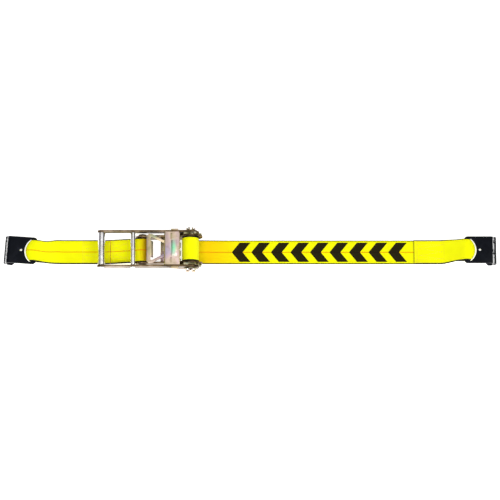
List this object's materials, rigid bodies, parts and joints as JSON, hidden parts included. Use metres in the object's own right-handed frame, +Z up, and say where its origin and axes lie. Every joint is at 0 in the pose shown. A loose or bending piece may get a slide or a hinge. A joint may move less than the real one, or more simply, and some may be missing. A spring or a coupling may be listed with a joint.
{
  "type": "ratchet tie-down strap",
  "caption": "Ratchet tie-down: a folded lever ratchet between a short and a long flat webbing strap, each sewn round the bar of a flat hook.",
  "frame": {"origin": "centre of the footprint, on the floor that the strap lies on", "axes": "+X along the strap from the ratchet end to the long strap's hook, +Y across the webbing, +Z up"},
  "size_m": [1.0201, 0.093, 0.0473],
  "materials": {
    "yellow_zinc": "yellow iridescent zinc plating, satin",
    "bright_zinc": "bright zinc plating",
    "black_paint": "black dipped paint, semi-gloss",
    "spring_wire": "spring wire",
    "yellow_webbing": "woven polyester webbing"
  },
  "bodies": {
    "frame": {"frame_side_far": "yellow_zinc", "frame_side_near": "yellow_zinc", "frame_cross_plate": "yellow_zinc", "frame_bolt": "yellow_zinc", "frame_bolt_nut": "yellow_zinc", "frame_spacer_tube": "yellow_zinc", "frame_pawl_spring": "spring_wire", "short_strap": "yellow_webbing", "long_strap": "yellow_webbing"},
    "frame_pawl": {"frame_pawl": "yellow_zinc"},
    "mandrel": {"mandrel_half_left": "yellow_zinc", "mandrel_half_right": "yellow_zinc", "ratchet_wheel_far": "yellow_zinc", "ratchet_wheel_near": "yellow_zinc", "mandrel_washer_far": "yellow_zinc", "mandrel_washer_near": "yellow_zinc", "cotter_pin_far_left": "bright_zinc", "cotter_pin_far_right": "bright_zinc", "cotter_pin_near_left": "bright_zinc", "cotter_pin_near_right": "bright_zinc", "webbing_roll": "yellow_webbing"},
    "handle": {"handle_arm_far": "yellow_zinc", "handle_arm_near": "yellow_zinc", "handle_grip": "bright_zinc", "handle_crossbar": "bright_zinc", "handle_web_plate": "yellow_zinc", "handle_pawl_spring": "spring_wire"},
    "handle_pawl": {"handle_pawl": "yellow_zinc"},
    "left_hook": {"left_flat_hook": "black_paint"},
    "right_hook": {"right_flat_hook": "black_paint"}
  },
  "joints": [
    {"name": "handle_swing", "type": "hinge", "parent": "frame", "child": "handle", "pos_m": [-0.1225, 0, 0.0245], "axis": [0, 1, 0], "range_deg": [0, 170]},
    {"name": "handle_pawl_pull", "type": "slide", "parent": "handle", "child": "handle_pawl", "axis": [-1, 0, 0], "range_m": [0, 0.007], "stiffness_N_per_m": 400, "springref_m": -0.004, "deforming": ["handle_pawl_spring"]},
    {"name": "mandrel_turn", "type": "hinge", "parent": "frame", "child": "mandrel", "pos_m": [-0.1225, 0, 0.0245], "axis": [0, 1, 0], "continuous": true},
    {"name": "frame_pawl_pull", "type": "slide", "parent": "frame", "child": "frame_pawl", "axis": [-1, 0, 0], "range_m": [0, 0.005], "stiffness_N_per_m": 400, "springref_m": -0.004, "deforming": ["frame_pawl_spring"]},
    {"name": "left_hook_swing", "type": "hinge", "parent": "frame", "child": "left_hook", "pos_m": [-0.4453, -0.0025, 0.0255], "axis": [0.0698, 0.9976, 0], "range_deg": [-80, 100]},
    {"name": "right_hook_swing", "type": "hinge", "parent": "frame", "child": "right_hook", "pos_m": [0.447, 0, 0.0255], "axis": [0, -1, 0], "range_deg": [-80, 100]}
  ]
}
